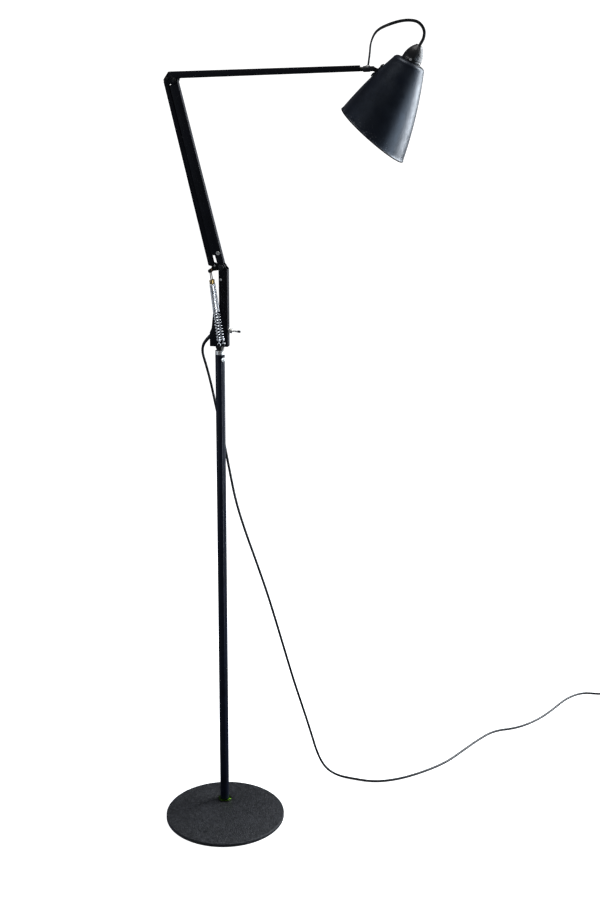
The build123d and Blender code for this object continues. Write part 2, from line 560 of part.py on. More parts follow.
def cords():
    cord_tube("mains_cord", [gland_exit(), *MAINS_ROUTE], CORD_RADIUS)
    cord_tube("mains_cord_tail", TAIL_ROUTE, CORD_RADIUS)
    outer = COIL_MIDDLE + COIL_HALF_BAND
    coil = pillar(outer, COIL_BOTTOM, COIL_TOP, *COIL_CENTRE)
    coil -= pillar(COIL_MIDDLE - COIL_HALF_BAND, -1, 30, *COIL_CENTRE)
    nodes["cord_coil"] = fillet(coil.edges().filter_by(GeomType.CIRCLE), 2.0)

    way = Pos(*PLUG_BACK, PLUG_HEIGHT) * Rot(0, 0, PLUG_TURN) * Rot(0, 90, 0)
    neck = Cone(4.6, 6.4, 12, align=MIN_END)
    body = Pos(0, 0, 12 + 17) * Box(13.6, 30, 34)
    body = chamfer(body.edges().filter_by(Axis.Z), 3.0)
    body = chamfer(body.faces().sort_by(Axis.Z)[0].edges(), 2.0)
    nodes["plug_body"] = way * (neck + body)
    nodes["plug_pins"] = group(way * Pos(0, side * 9.5, 0) * pillar(2.0, 46, 65) for side in (-1, 1))

    cap_way = HEAD_PLANE.location
    cap_mouth = (cap_way * Pos(0, 0, CAP_TOP + 0.4)).position
    route = [
        (FLEX_X, 0, FLEX_Z + GROMMET_TOP + 0.5), (319.5, 0, 1752), (320.5, 0, 1774), (331, 0, 1797),
        (356, 0, 1809), (386, 0, 1817.5), (411, 0, 1816.8), (423, 0, 1808.5), (429.4, 0, 1797),
        (428.6, 0, 1784.8), (425.1, 0, 1776.6), (cap_mouth.X, 0, cap_mouth.Z),
    ]
    cord_tube("flex_loop", route, CORD_RADIUS)


def main():
    lamp = (stand, yoke, toggle_switch, rocker, springs, lower_arm, link_bar, upper_arm, knuckle, head)
    for make in (*lamp, cords):
        make()
    for name, shape in nodes.items():
        export_step(shape, f"parts/{name}.step")


main()
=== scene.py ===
"""Looks for the adjustable arm floor lamp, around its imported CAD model. Metres, +Z up, -Y is the front."""
import json
from math import atan2, cos, hypot, radians, sin, tan, tau

import bmesh
import bpy
from mathutils import Matrix, Vector


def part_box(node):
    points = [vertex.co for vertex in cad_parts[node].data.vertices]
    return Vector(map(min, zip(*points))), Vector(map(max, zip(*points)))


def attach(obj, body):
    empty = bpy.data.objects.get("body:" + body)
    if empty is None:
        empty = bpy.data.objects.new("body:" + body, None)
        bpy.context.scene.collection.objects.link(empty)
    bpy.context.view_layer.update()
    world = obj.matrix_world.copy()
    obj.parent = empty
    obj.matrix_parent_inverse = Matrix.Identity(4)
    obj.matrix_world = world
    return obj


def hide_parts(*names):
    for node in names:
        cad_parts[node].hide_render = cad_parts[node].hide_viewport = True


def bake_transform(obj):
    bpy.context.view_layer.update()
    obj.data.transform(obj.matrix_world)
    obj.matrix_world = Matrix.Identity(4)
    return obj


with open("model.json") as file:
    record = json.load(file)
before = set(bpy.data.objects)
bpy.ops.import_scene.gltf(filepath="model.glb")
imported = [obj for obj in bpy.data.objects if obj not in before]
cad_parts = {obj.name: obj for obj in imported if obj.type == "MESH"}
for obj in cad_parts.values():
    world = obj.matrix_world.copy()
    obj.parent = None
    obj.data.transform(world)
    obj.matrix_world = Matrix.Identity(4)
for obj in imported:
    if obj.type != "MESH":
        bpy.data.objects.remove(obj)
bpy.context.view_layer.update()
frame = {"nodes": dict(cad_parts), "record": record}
nodes = frame["nodes"]
MM = 0.001
FRONT = Vector((0, -1, 0))

# ---- camera ----
CAMERA_PLACE = (0.723, -2.9285, 1.7953)
CAMERA_HEADING = radians(10.5)
CAMERA_PITCH = radians(16.649)
CAMERA_ROLL = radians(-0.349)
CAMERA_LENS = 56.06

# ---- head: millimetres from the mouth's centre, as (radius, height up the shade's axis) ----
SHADE_TILT = radians(28.15)
MOUTH_CENTRE = Vector((324.8, 0, 1591.2)) * MM
MOUTH_SLANT = radians(11.75)
SHADE_FOOT = (86.0, -24)
SHADE_MIDDLE = (67.0, 62.7)
SHADE_SHOULDER = (35.5, 157)
SHADE_HEIGHT = 165.5
SHADE_WALL = 1.0
SHOULDER_BULGE = (2.6, 5.6)
SHOULDER_WIDTH = 9
CAP_SEAT_RADIUS = 21.6
RIM_BEAD_RADIUS = 1.4
RIM_BEAD_INSET = 0.4
RIM_BEAD_RISE = 1.6
HOLDER_RADIUS = 14
CAP_BASE = 166.9
CAP_TOP = 202
CAP_BORE = 3.15
CAP_RIBS = 40
RIB_DEPTH = 0.016
GLOBE_CENTRE = 62
GLOBE_RADIUS = 30
BULB_CAP_FOOT = 104

# ---- springs, in millimetres ----
SPRING_RADIUS = 4.65
SPRING_WIRE = 1.1
OPEN_PITCH = 6.4
OPEN_SHARE = 0.5
FIRST_OPEN_SHARE = 0.03
CLOSE_PITCH = 2 * SPRING_WIRE + 0.05
STEPS_PER_TURN = 18
COIL_START = 10.0
COIL_END_GAP = 1.4
SPRING_PLANES = (-24.3, -14.3)
SPRING_FEET = ((4.1, 1139), (11.3, 1138.7))
SPRING_TOP = (-14.5, 1300)
EYE_RADIUS = 3.1
HOOK_LENGTH = 15
ADJUSTER_LENGTH = 9
EYE_OUTER = 4.3
KNURL_DEPTH = 0.22
KNURL_COUNT = 40
ROD_RADIUS = 1.0
THREAD_DEPTH = 0.14

# ---- cords: the routes are the CAD model's, in millimetres, and LENGTH is in metres ----
CORD_RADIUS = 3.0
GLAND_EXIT = (-24.25, 0, 1149.75)
MAINS_ROUTE = [
    (-34.15, 0.2, 1139.85), (-39.6, 0.7, 1126.95), (-39.9, 1.6, 1112.95), (-36.8, 3.6, 1099.5),
    (-31, 7, 1076), (-23.5, 11.5, 1040), (-17, 17, 999), (-8, 22.5, 950),
    (3, 26.5, 892), (13, 30, 830), (25, 35, 760), (44, 42, 690), (68, 52, 612), (92, 65, 528), (112, 80, 444),
    (131, 95, 361), (150, 111, 278), (170, 129, 198), (186, 146, 128), (199, 158, 70), (217, 166, 28),
    (246, 170, 6), (286, 166, 3), (344, 160, 3), (404, 186, 3), (464, 238, 3), (513, 295, 3), (548, 360, 3),
    (583, 426, 3), (622, 487, 3), (683, 514, 3), (737, 573, 3), (775, 640, 3), (812, 718, 3), (856, 764, 3),
    (905, 764, 3), (942, 772, 3.4), (972, 782, 3.8),
]
TAIL_ROUTE = [(1031, 724, 8.4), (1031, 702, 3.6), (1027, 682, 3.0), (1022, 664, 5.2), (1017, 647, 7)]
COIL_CENTRE = (992, 748)
COIL_TRACKS = (36.2, 29.8)
COIL_LAYERS = (3.8, 10.0)
COIL_ENTRY_RADIUS = 39.4
COIL_ENTRY_ANGLE = 120.5
COIL_SWEEP = 1206.8
COIL_STEP = 22.35
COIL_SETTLES = (0, 45)
COIL_STEPS_IN = (290, 370)
COIL_CLIMBS = (560, 645)
COIL_STEPS_OUT = (850, 930)
TIE_ANGLE = radians(205)
TIE_HALF_WIDTH = 4
TIE_THICKNESS = 0.55
TIE_CLEARANCE = 0.25
LAMP_RELIEF = (24, 4.1)
PLUG_RELIEF = (26, 4.5)
RELIEF_TIP = 3.3
RELIEF_RIBS = 7
FLEX_ROUTE = [
    (316.6, 0, 1729.7), (319.5, 0, 1752), (320.5, 0, 1774), (331, 0, 1797), (356, 0, 1809), (386, 0, 1817.5),
    (411, 0, 1816.8), (423, 0, 1808.5), (429.4, 0, 1797), (428.6, 0, 1784.8), (425.1, 0, 1776.6),
    (418.2, 0, 1765.8),
]
FLEX_TWIST = (0.1, 0.45)
CORE_RADIUS = 2.0
CORE_OFFSET = 1.2


# ---- camera, lights and floor ----
def aim(obj, place, target):
    obj.location = place
    obj.rotation_mode = "QUATERNION"
    obj.rotation_quaternion = (Vector(target) - Vector(place)).to_track_quat("-Z", "Y")


def make_camera():
    data = bpy.data.cameras.new("camera")
    data.lens = CAMERA_LENS
    data.sensor_width = 36
    data.clip_end = 50
    camera = bpy.data.objects.new("camera", data)
    bpy.context.scene.collection.objects.link(camera)
    forward = Vector((-sin(CAMERA_HEADING) * cos(CAMERA_PITCH), cos(CAMERA_HEADING) * cos(CAMERA_PITCH),
                      -sin(CAMERA_PITCH)))
    level = Vector((cos(CAMERA_HEADING), sin(CAMERA_HEADING), 0))
    above = level.cross(forward)
    right = level * cos(CAMERA_ROLL) - above * sin(CAMERA_ROLL)
    up = level * sin(CAMERA_ROLL) + above * cos(CAMERA_ROLL)
    turn = Matrix((right, up, -forward)).transposed().to_4x4()
    camera.matrix_world = Matrix.Translation(CAMERA_PLACE) @ turn
    bpy.context.scene.camera = camera


def soft_box(name, place, target, width, height, watts, colour):
    data = bpy.data.lights.new(name, "AREA")
    data.shape = "RECTANGLE"
    data.size, data.size_y = width, height
    data.energy = watts
    data.color = colour
    lamp = bpy.data.objects.new(name, data)
    bpy.context.scene.collection.objects.link(lamp)
    aim(lamp, place, target)


def make_studio():
    middle = (0.15, 0, 1.3)
    soft_box("key", (2.6, 1.5, 1.9), middle, 1.9, 2.8, 190, (0.9, 0.95, 1.0))
    soft_box("low key", (2.8, -0.5, 0.9), middle, 1.3, 1.2, 22, (0.72, 0.85, 1.0))
    soft_box("edge", (-2.9, -1.2, 1.7), middle, 1.2, 2.8, 22, (0.72, 0.84, 1.0))
    soft_box("front", (-2.4, -3.0, 2.6), middle, 1.8, 2.2, 11, (0.95, 0.97, 1.0))
    soft_box("top", (0.3, -0.2, 4.4), (0.1, 0, 0), 1.6, 1.6, 32, (1.0, 1.0, 1.0))
    world = bpy.data.worlds.new("studio")
    bpy.context.scene.world = world
    world.use_nodes = True
    tree = world.node_tree
    seen, lit = tree.nodes["Background"], tree.nodes.new("ShaderNodeBackground")
    seen.inputs["Color"].default_value = (1, 1, 1, 1)
    seen.inputs["Strength"].default_value = 1.2
    lit.inputs["Color"].default_value = (0.8, 0.88, 1, 1)
    lit.inputs["Strength"].default_value = 0.11
    path, mix = tree.nodes.new("ShaderNodeLightPath"), tree.nodes.new("ShaderNodeMixShader")
    tree.links.new(path.outputs["Is Camera Ray"], mix.inputs[0])
    tree.links.new(lit.outputs[0], mix.inputs[1])
    tree.links.new(seen.outputs[0], mix.inputs[2])
    tree.links.new(mix.outputs[0], tree.nodes["World Output"].inputs["Surface"])
    bpy.context.scene.view_settings.view_transform = "Standard"


def make_floor():
    mesh = bpy.data.meshes.new("floor")
    reach = 14
    corners = ((-reach, -reach), (reach, -reach), (reach, reach), (-reach, reach))
    mesh.from_pydata([(x, y, 0) for x, y in corners], [], [(0, 1, 2, 3)])
    floor = bpy.data.objects.new("floor", mesh)
    bpy.context.scene.collection.objects.link(floor)
    paint = Finish("floor_paper", (0.9, 0.9, 0.9), 0.9)
    paint.shader.inputs["Emission Color"].default_value = (1, 1, 1, 1)
    paint.shader.inputs["Emission Strength"].default_value = 0.97
    mesh.materials.append(paint.material)
    floor.visible_glossy = False
    floor.visible_diffuse = False


# ---- materials ----
class Finish:
    """A material being built: its main shader, and short ways to give it texture in the frame's metres."""

    def __init__(self, name, colour, roughness, metallic=0.0, **sockets):
        self.material = bpy.data.materials.new(name)
        self.material.use_nodes = True
        self.tree = self.material.node_tree
        self.shader = self.tree.nodes["Principled BSDF"]
        self.set("Base Color", (*colour, 1))
        self.set("Roughness", roughness)
        self.set("Metallic", metallic)
        for socket, value in sockets.items():
            self.set(socket.replace("_", " "), value)
        self.places = self.tree.nodes.new("ShaderNodeTexCoord").outputs["Object"]

    def set(self, socket, value):
        if hasattr(value, "links"):
            self.tree.links.new(value, self.shader.inputs[socket])
        else:
            self.shader.inputs[socket].default_value = value

    def node(self, kind, links=(), **values):
        made = self.tree.nodes.new(kind)
        for name, value in values.items():
            if name in made.inputs:
                made.inputs[name].default_value = value
            else:
                setattr(made, name, value)
        for socket, source in dict(links).items():
            self.tree.links.new(source, made.inputs[socket])
        return made

    def stretched(self, scale):
        return self.node("ShaderNodeMapping", {"Vector": self.places}, Scale=scale).outputs[0]

    def noise(self, scale, detail=4.0, roughness=0.55, stretch=(1, 1, 1)):
        made = self.node("ShaderNodeTexNoise", {"Vector": self.stretched(stretch)}, Scale=scale,
                         Detail=detail, Roughness=roughness)
        return made.outputs["Fac"]

    def cells(self, scale, feature="DISTANCE_TO_EDGE", warp=None):
        places = self.places if warp is None else warp
        made = self.node("ShaderNodeTexVoronoi", {"Vector": places}, feature=feature, Scale=scale)
        return made.outputs["Distance"]

    def warped(self, scale, amount):
        """The frame's places, each moved a little by a noise."""
        noise = self.node("ShaderNodeTexNoise", {"Vector": self.places}, Scale=scale, Detail=3.0)
        shift = self.node("ShaderNodeVectorMath", {0: noise.outputs["Color"]}, operation="SCALE",
                          Scale=amount)
        moved = self.node("ShaderNodeVectorMath", {0: self.places, 1: shift.outputs[0]}, operation="ADD")
        return moved.outputs[0]

    def span(self, source, low, high, to_low, to_high):
        made = self.node("ShaderNodeMapRange", {"Value": source})
        for socket, value in zip(("From Min", "From Max", "To Min", "To Max"), (low, high, to_low, to_high)):
            made.inputs[socket].default_value = value
        return made.outputs["Result"]

    def sum(self, a, b, operation="ADD", scale=1.0):
        """a, scaled, plus b, or another operation between the two."""
        made = self.node("ShaderNodeMath", {0: a}, operation="MULTIPLY")
        made.inputs[1].default_value = scale
        return self.node("ShaderNodeMath", {0: made.outputs[0], 1: b}, operation=operation).outputs[0]

    def mix(self, share, first, second):
        made = self.node("ShaderNodeMix", data_type="RGBA")
        self.tree.links.new(share, made.inputs["Factor"])
        for socket, colour in ((6, first), (7, second)):
            if hasattr(colour, "links"):
                self.tree.links.new(colour, made.inputs[socket])
            else:
                made.inputs[socket].default_value = (*colour, 1)
        return made.outputs[2]

    def bump(self, height, strength, depth_mm):
        made = self.node("ShaderNodeBump", {"Height": height}, Strength=strength, Distance=depth_mm * MM)
        self.set("Normal", made.outputs["Normal"])


def lighter(colour):
    return [c * 1.8 + 0.001 for c in colour]


def black_paint(name, colour, roughness, chips=0.0, wear=(0.15, 0.15, 0.15)):
    """Sprayed black paint: orange peel, uneven dulling from hands, and a few small chips."""
    paint = Finish(name, colour, roughness, Specular_IOR_Level=0.2)
    dull = paint.noise(38, 5.0)
    paint.set("Roughness", paint.span(dull, 0.3, 0.75, roughness - 0.07, roughness + 0.12))
    cloud = paint.mix(paint.span(paint.noise(22, 4.0), 0.35, 0.7, 0, 1), colour, lighter(colour))
    specks = paint.span(paint.noise(620, 2.0, 0.5), 0.735 - chips, 0.75 - chips, 0, 1)
    paint.set("Base Color", paint.mix(specks, cloud, wear))
    paint.bump(paint.sum(paint.noise(900, 2.0), paint.noise(240, 2.0), scale=0.5), 0.22, 0.12)
    return paint.material


def plated(name, colour, roughness, depth=0.06, stain=0.55):
    """Plated or bare metal: fine scratches one way, cloudy tarnish, and roughness that varies."""
    metal = Finish(name, colour, roughness, 1.0)
    tarnish = metal.span(metal.noise(160, 5.0), 0.42, 0.72, 0, 1)
    metal.set("Base Color", metal.mix(tarnish, colour, [c * stain for c in colour]))
    metal.set("Roughness", metal.span(metal.noise(320, 4.0), 0.3, 0.75, roughness * 0.7, roughness * 1.6))
    metal.bump(metal.noise(520, 3.0, stretch=(1, 1, 9)), 0.3, depth)
    return metal.material


def crackle_casting():
    """Cast disc with a crackle finish: wandering cells, pits and a rim rubbed to a lighter edge."""
    colour = (0.004, 0.004, 0.006)
    cast = Finish("crackle_casting", colour, 0.5, Specular_IOR_Level=0.45)
    cells = cast.cells(210, warp=cast.warped(110, 0.005))
    fine = cast.noise(420, 5.0, 0.65)
    height = cast.sum(cast.span(cells, 0, 0.14, 0, 1), fine, scale=0.8)
    low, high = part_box("base_disc")
    middle = (low + high) / 2
    from_middle = cast.node("ShaderNodeVectorMath", {0: cast.places}, operation="SUBTRACT")
    from_middle.inputs[1].default_value = middle
    flat = cast.node("ShaderNodeVectorMath", {0: from_middle.outputs[0]}, operation="MULTIPLY")
    flat.inputs[1].default_value = (1, 1, 0)
    away = cast.node("ShaderNodeVectorMath", {0: flat.outputs[0]}, operation="LENGTH").outputs["Value"]
    rim = (high.x - low.x) / 2
    edge = cast.span(away, rim - 2.2 * MM, rim - 0.9 * MM, 0, 1)
    worn = cast.sum(edge, cast.span(cast.noise(60, 4.0), 0.3, 0.7, 0.45, 1), operation="MULTIPLY")
    mottled = cast.mix(cast.span(cast.noise(150, 6.0, 0.7), 0.4, 0.62, 0, 1), colour, (0.055, 0.056, 0.062))
    tops = cast.mix(cast.span(cells, 0.02, 0.2, 0, 1), (0.004, 0.004, 0.005), mottled)
    cast.set("Base Color", cast.mix(worn, tops, (0.022, 0.022, 0.025)))
    cast.set("Roughness", cast.span(fine, 0.3, 0.7, 0.36, 0.62))
    cast.bump(height, 0.8, 0.9)
    return cast.material


def shade_enamel():
    """Black enamel, dulled unevenly: shallow dents, a few round pits, and chips that gather near the rim."""
    colour = (0.0008, 0.0012, 0.0045)
    enamel = Finish("shade_gloss", colour, 0.42, Coat_Weight=0.22, Coat_Roughness=0.3,
                    Specular_Tint=(0.72, 0.84, 1, 1))
    above_mouth = Vector((sin(SHADE_TILT + MOUTH_SLANT), 0, cos(SHADE_TILT + MOUTH_SLANT)))
    along = enamel.node("ShaderNodeVectorMath", {0: enamel.places}, operation="DOT_PRODUCT")
    along.inputs[1].default_value = above_mouth
    rim = MOUTH_CENTRE.dot(above_mouth)
    near_rim = enamel.span(along.outputs["Value"], rim, rim + 26 * MM, 0.16, 0)
    chips = enamel.span(enamel.sum(enamel.noise(330, 4.0, 0.7), near_rim), 0.7, 0.74, 0, 1)
    haze = enamel.span(enamel.noise(34, 6.0, 0.65), 0.42, 0.68, 0, 1)
    faded = enamel.mix(haze, colour, (0.002, 0.0033, 0.0095))
    chipped = enamel.mix(chips, faded, (0.13, 0.13, 0.14))
    spots = enamel.span(enamel.cells(34, "F1"), 0.035, 0.05, 1, 0)
    enamel.set("Base Color", enamel.mix(spots, chipped, (0.001, 0.001, 0.001)))
    clouds = enamel.span(enamel.noise(48, 6.0, 0.65), 0.35, 0.68, 0.34, 0.56)
    enamel.set("Roughness", enamel.sum(spots, clouds, scale=0.4))
    dents = enamel.sum(enamel.noise(55, 4.0), enamel.noise(420, 3.0), scale=6.0)
    enamel.bump(enamel.sum(spots, dents, operation="SUBTRACT", scale=2.0), 0.2, 0.12)
    return enamel.material


def shade_lining():
    """Pale enamel inside the shade, yellowed in patches."""
    lining = Finish("shade_lining", (0.78, 0.76, 0.7), 0.32, Coat_Weight=0.3, Coat_Roughness=0.15)
    age = lining.span(lining.noise(30, 5.0), 0.35, 0.75, 0, 1)
    lining.set("Base Color", lining.mix(age, (0.8, 0.78, 0.72), (0.66, 0.6, 0.5)))
    lining.bump(lining.noise(260, 2.0), 0.1, 0.1)
    return lining.material


def moulded(name, colour, roughness, grain=500, strength=0.15, coat=0.0):
    """Moulded plastic, bakelite or rubber: a fine skin and patchy handling gloss."""
    skin = Finish(name, colour, roughness, Coat_Weight=coat, Coat_Roughness=0.12)
    skin.set("Roughness", skin.span(skin.noise(90, 4.0), 0.3, 0.75, roughness * 0.75, roughness * 1.35))
    patch = skin.span(skin.noise(60, 4.0), 0.35, 0.7, 0, 1)
    skin.set("Base Color", skin.mix(patch, colour, lighter(colour)))
    skin.bump(skin.noise(grain, 3.0), strength, 0.1)
    return skin.material


def felt():
    """Short dark wool: fibres in colour and relief, with a soft sheen."""
    wool = Finish("felt", (0.02, 0.02, 0.02), 0.95, Sheen_Weight=0.4, Sheen_Roughness=0.5)
    fibre = wool.noise(1400, 5.0, 0.7)
    wool.set("Base Color", wool.mix(fibre, (0.012, 0.012, 0.012), (0.05, 0.05, 0.05)))
    wool.bump(fibre, 0.7, 0.5)
    return wool.material


def opal_glass():
    """White glass with a gloss skin and a faint unevenness."""
    glass = Finish("opal_glass", (0.86, 0.86, 0.83), 0.12, Coat_Weight=0.6, Coat_Roughness=0.04,
                   Subsurface_Weight=0.2)
    glass.set("Base Color", glass.mix(glass.noise(40, 3.0), (0.88, 0.88, 0.85), (0.8, 0.79, 0.75)))
    glass.bump(glass.noise(200, 1.0), 0.04, 0.1)
    return glass.material


def make_materials():
    return {
        "felt": felt(),
        "crackle_paint": crackle_casting(),
        "column_paint": black_paint("column_satin", (0.004, 0.006, 0.014), 0.46),
        "arm_paint": black_paint("arm_satin", (0.002, 0.002, 0.0045), 0.6, chips=0.012),
        "shade_enamel": shade_enamel(),
        "nickel": plated("nickel_plate", (0.93, 0.91, 0.86), 0.4, 0.06, 0.7),
        "dark_steel": plated("blackened_steel", (0.06, 0.058, 0.056), 0.36),
        "knuckle_metal": plated("worn_nickel", (0.075, 0.075, 0.08), 0.34, 0.1),
        "passivated_steel": plated("passivated_steel", (0.1, 0.24, 0.012), 0.2, 0.08, 0.04),
        "spring_wire": plated("spring_wire", (0.88, 0.88, 0.89), 0.3, 0.03, 0.7),
        "brass": plated("brass", (0.5, 0.33, 0.12), 0.26, stain=0.3),
        "aged_brass": plated("aged_brass", (0.16, 0.1, 0.06), 0.36, 0.1),
        "bakelite": moulded("bakelite", (0.004, 0.0038, 0.004), 0.32, coat=0.2),
        "plug_plastic": moulded("moulded_plastic", (0.007, 0.007, 0.008), 0.38),
        "cord_jacket": moulded("cord_jacket", (0.004, 0.004, 0.005), 0.42, 300, 0.1),
        "flex_jacket": moulded("flex_jacket", (0.006, 0.006, 0.006), 0.4, 300, 0.1),
        "bulb_metal": plated("bulb_cap_metal", (0.7, 0.7, 0.68), 0.3),
        "bulb_glass": opal_glass(),
    }


def dress_cad_nodes(materials):
    """Gives every CAD node its finish, and a small round on its edges so that they catch the light."""
    broad = {"yoke_bracket": 0.5, "lower_arm_channel": 0.5, "link_bar_channel": 0.5, "upper_arm_channel": 0.5,
             "base_disc": 0.6, "foot_lock_nut": 0.5, "plug_body": 1.2, "switch_body": 0.5}
    for row in frame["record"]["subparts"]:
        node = nodes[row["node"]]
        node.data.materials.clear()
        node.data.materials.append(materials[row["material_slot"]])
        node.modifiers.new("join", "WELD").merge_threshold = 0.01 * MM
        edge = node.modifiers.new("edge", "BEVEL")
        edge.width = broad.get(row["node"], 0.18) * MM
        edge.segments = 3
        edge.limit_method = "ANGLE"
        edge.angle_limit = radians(32)
        edge.harden_normals = True
        for face in node.data.polygons:
            face.use_smooth = True


# ---- mesh tools ----
def piece(name, vertices, faces, material, body=None):
    """A smooth mesh object with its normals outwards, riding on a body if one is named."""
    mesh = bpy.data.meshes.new(name)
    mesh.from_pydata([tuple(v) for v in vertices], [], faces)
    mesh.validate()
    work = bmesh.new()
    work.from_mesh(mesh)
    bmesh.ops.recalc_face_normals(work, faces=work.faces)
    work.to_mesh(mesh)
    work.free()
    for face in mesh.polygons:
        face.use_smooth = True
    mesh.set_sharp_from_angle(angle=radians(38))
    mesh.materials.append(material)
    obj = bpy.data.objects.new(name, mesh)
    bpy.context.scene.collection.objects.link(obj)
    if body:
        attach(obj, body)
    return obj


def smooth_line(points_mm):
    """Points read along the smooth NURBS line whose control points are these, in metres."""
    curve = bpy.data.curves.new("route", "CURVE")
    curve.dimensions = "3D"
    curve.resolution_u = 10
    spline = curve.splines.new("NURBS")
    spline.points.add(len(points_mm) - 1)
    for point, place in zip(spline.points, points_mm):
        point.co = (*(Vector(place) * MM), 1)
    spline.order_u = 3
    spline.use_endpoint_u = True
    holder = bpy.data.objects.new("route", curve)
    bpy.context.scene.collection.objects.link(holder)
    bpy.context.view_layer.update()
    mesh = bpy.data.meshes.new_from_object(holder)
    line = [vertex.co.copy() for vertex in mesh.vertices]
    bpy.data.objects.remove(holder)
    bpy.data.meshes.remove(mesh)
    return line


def band(first, second, count):
    """Faces between two rings of vertices, given the first vertex of each."""
    return [(first + i, first + (i + 1) % count, second + (i + 1) % count, second + i) for i in range(count)]


def swept(line, section, side=FRONT, scale_at=None, turn_at=None):
    """Vertices and faces of a closed section swept along a line, scaled and turned along it if asked.

    The line is in metres and the section in millimetres.
    """
    vertices, faces = [], []
    across = side
    count = len(section)
    for index, place in enumerate(line):
        before, after = line[max(index - 1, 0)], line[min(index + 1, len(line) - 1)]
        along = (after - before).normalized()
        across = (across - along * across.dot(along)).normalized()
        turn = turn_at(index / (len(line) - 1)) if turn_at else 0
        wide = across * cos(turn) + along.cross(across) * sin(turn)
        other = along.cross(wide)
        scale = MM * (scale_at(index / (len(line) - 1)) if scale_at else 1)
        vertices += [place + (wide * a + other * b) * scale for a, b in section]
    for ring in range(len(line) - 1):
        faces += band(ring * count, (ring + 1) * count, count)
    faces.append(tuple(reversed(range(count))))
    faces.append(tuple(range(len(vertices) - count, len(vertices))))
    return vertices, faces


def circle(radius, count=16):
    return [(radius * cos(tau * i / count), radius * sin(tau * i / count)) for i in range(count)]


def twin_section(radius, offset, count=10):
    """Two round cores side by side in one jacket: a figure of eight, wide along the first direction."""
    half = [(offset + radius * cos(a), radius * sin(a))
            for a in [radians(-125 + 250 * i / (count - 1)) for i in range(count)]]
    return half + [(-x, -y) for x, y in half]


def head_matrix():
    along = Vector((sin(SHADE_TILT), 0, cos(SHADE_TILT)))
    across = Vector((cos(SHADE_TILT), 0, -sin(SHADE_TILT)))
    turn = Matrix((across, Vector((0, 1, 0)), along)).transposed().to_4x4()
    return Matrix.Translation(MOUTH_CENTRE) @ turn


HEAD = head_matrix()


def lathe(profile_at, segments=144):
    """A closed skin round the head's axis. profile_at(angle) gives its (radius, height) points there."""
    turns = [tau * i / segments for i in range(segments)]
    columns = [(turn, profile_at(turn)) for turn in turns]
    rings = len(columns[0][1])

    def place(turn, radius, height):
        return HEAD @ (Vector((radius * cos(turn), radius * sin(turn), height)) * MM)

    vertices = [place(turn, *profile[ring]) for ring in range(rings) for turn, profile in columns]
    faces = []
    for ring in range(rings):
        faces += band(ring * segments, (ring + 1) % rings * segments, segments)
    return vertices, faces


def circle_through(p1, p2, p3):
    """Centre and radius of the circle through three points."""
    a, b, c, d = p2[0] - p1[0], p2[1] - p1[1], p3[0] - p1[0], p3[1] - p1[1]
    e = a * (p1[0] + p2[0]) + b * (p1[1] + p2[1])
    f = c * (p1[0] + p3[0]) + d * (p1[1] + p3[1])
    g = 2 * (a * (p3[1] - p2[1]) - b * (p3[0] - p2[0]))
    x, y = (d * e - b * f) / g, (a * f - c * e) / g
    return x, y, hypot(p1[0] - x, p1[1] - y)


def arc_through(p1, p2, p3, count):
    """Points along the circle through three points, from the first to the last."""
    x, y, radius = circle_through(p1, p2, p3)
    first, last = atan2(p1[1] - y, p1[0] - x), atan2(p3[1] - y, p3[0] - x)
    turns = [first + (last - first) * i / (count - 1) for i in range(count)]
    return [(x + radius * cos(t), y + radius * sin(t)) for t in turns]


# ---- head ----
SIDE_X, SIDE_Y, SIDE_RADIUS = circle_through(SHADE_FOOT, SHADE_MIDDLE, SHADE_SHOULDER)


def rim_height(angle):
    """Where the slanted mouth cuts the shade's side, found by stepping along the side's arc."""
    height = 0.0
    for _ in range(12):
        radius = SIDE_X + (SIDE_RADIUS ** 2 - (height - SIDE_Y) ** 2) ** 0.5
        height = -radius * cos(angle) * tan(MOUTH_SLANT)
    return height


def shade_skin(angle, shrink, count=40):
    """Half outline of the shade's side, shoulder and top, from mouth to neck, moved inwards by shrink."""
    first = (rim_height(angle) + RIM_BEAD_RISE - SIDE_Y) / SIDE_RADIUS
    last = (SHADE_SHOULDER[1] - SIDE_Y) / SIDE_RADIUS
    side = []
    for i in range(count):
        rise = first + (last - first) * i / (count - 1)
        side.append((SIDE_X + SIDE_RADIUS * (1 - rise * rise) ** 0.5 - shrink, SIDE_Y + SIDE_RADIUS * rise))
    top_height = SHADE_HEIGHT - shrink
    bulge = (SHADE_SHOULDER[0] - SHOULDER_BULGE[0] - shrink, SHADE_SHOULDER[1] + SHOULDER_BULGE[1] - shrink)
    bend = arc_through(side[-1], bulge, (SHADE_SHOULDER[0] - SHOULDER_WIDTH, top_height), 9)
    return side + bend[1:] + [(CAP_SEAT_RADIUS, top_height + 0.02), (HOLDER_RADIUS, top_height)]


def make_shade(materials):
    """Spun shade: gloss outside with a rolled rim bead, pale lining inside."""
    segments = 144
    bead_turns = [radians(60 - 240 * i / 15) for i in range(16)]

    def profile_at(angle):
        outside, inside = shade_skin(angle, 0), shade_skin(angle, SHADE_WALL)
        radius, height = outside[0]
        bead = [(radius - RIM_BEAD_INSET + RIM_BEAD_RADIUS * cos(t), height + RIM_BEAD_RADIUS * sin(t))
                for t in bead_turns]
        return list(reversed(outside[1:])) + bead + inside[1:]

    vertices, faces = lathe(profile_at, segments)
    shade = piece("shade_spinning", vertices, faces, materials["shade_enamel"], "head")
    shade.data.materials.append(shade_lining())
    shade.data.materials.append(materials["arm_paint"])
    last_outside = len(shade_skin(0, 0)) - 1 + len(bead_turns)
    last_ring = len(vertices) // segments - 1
    for index, face in enumerate(shade.data.polygons):
        ring = index // segments
        if last_outside - 1 <= ring < last_ring:
            face.material_index = 1
        elif last_outside - len(bead_turns) <= ring < last_outside:
            face.material_index = 2
    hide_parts("shade")


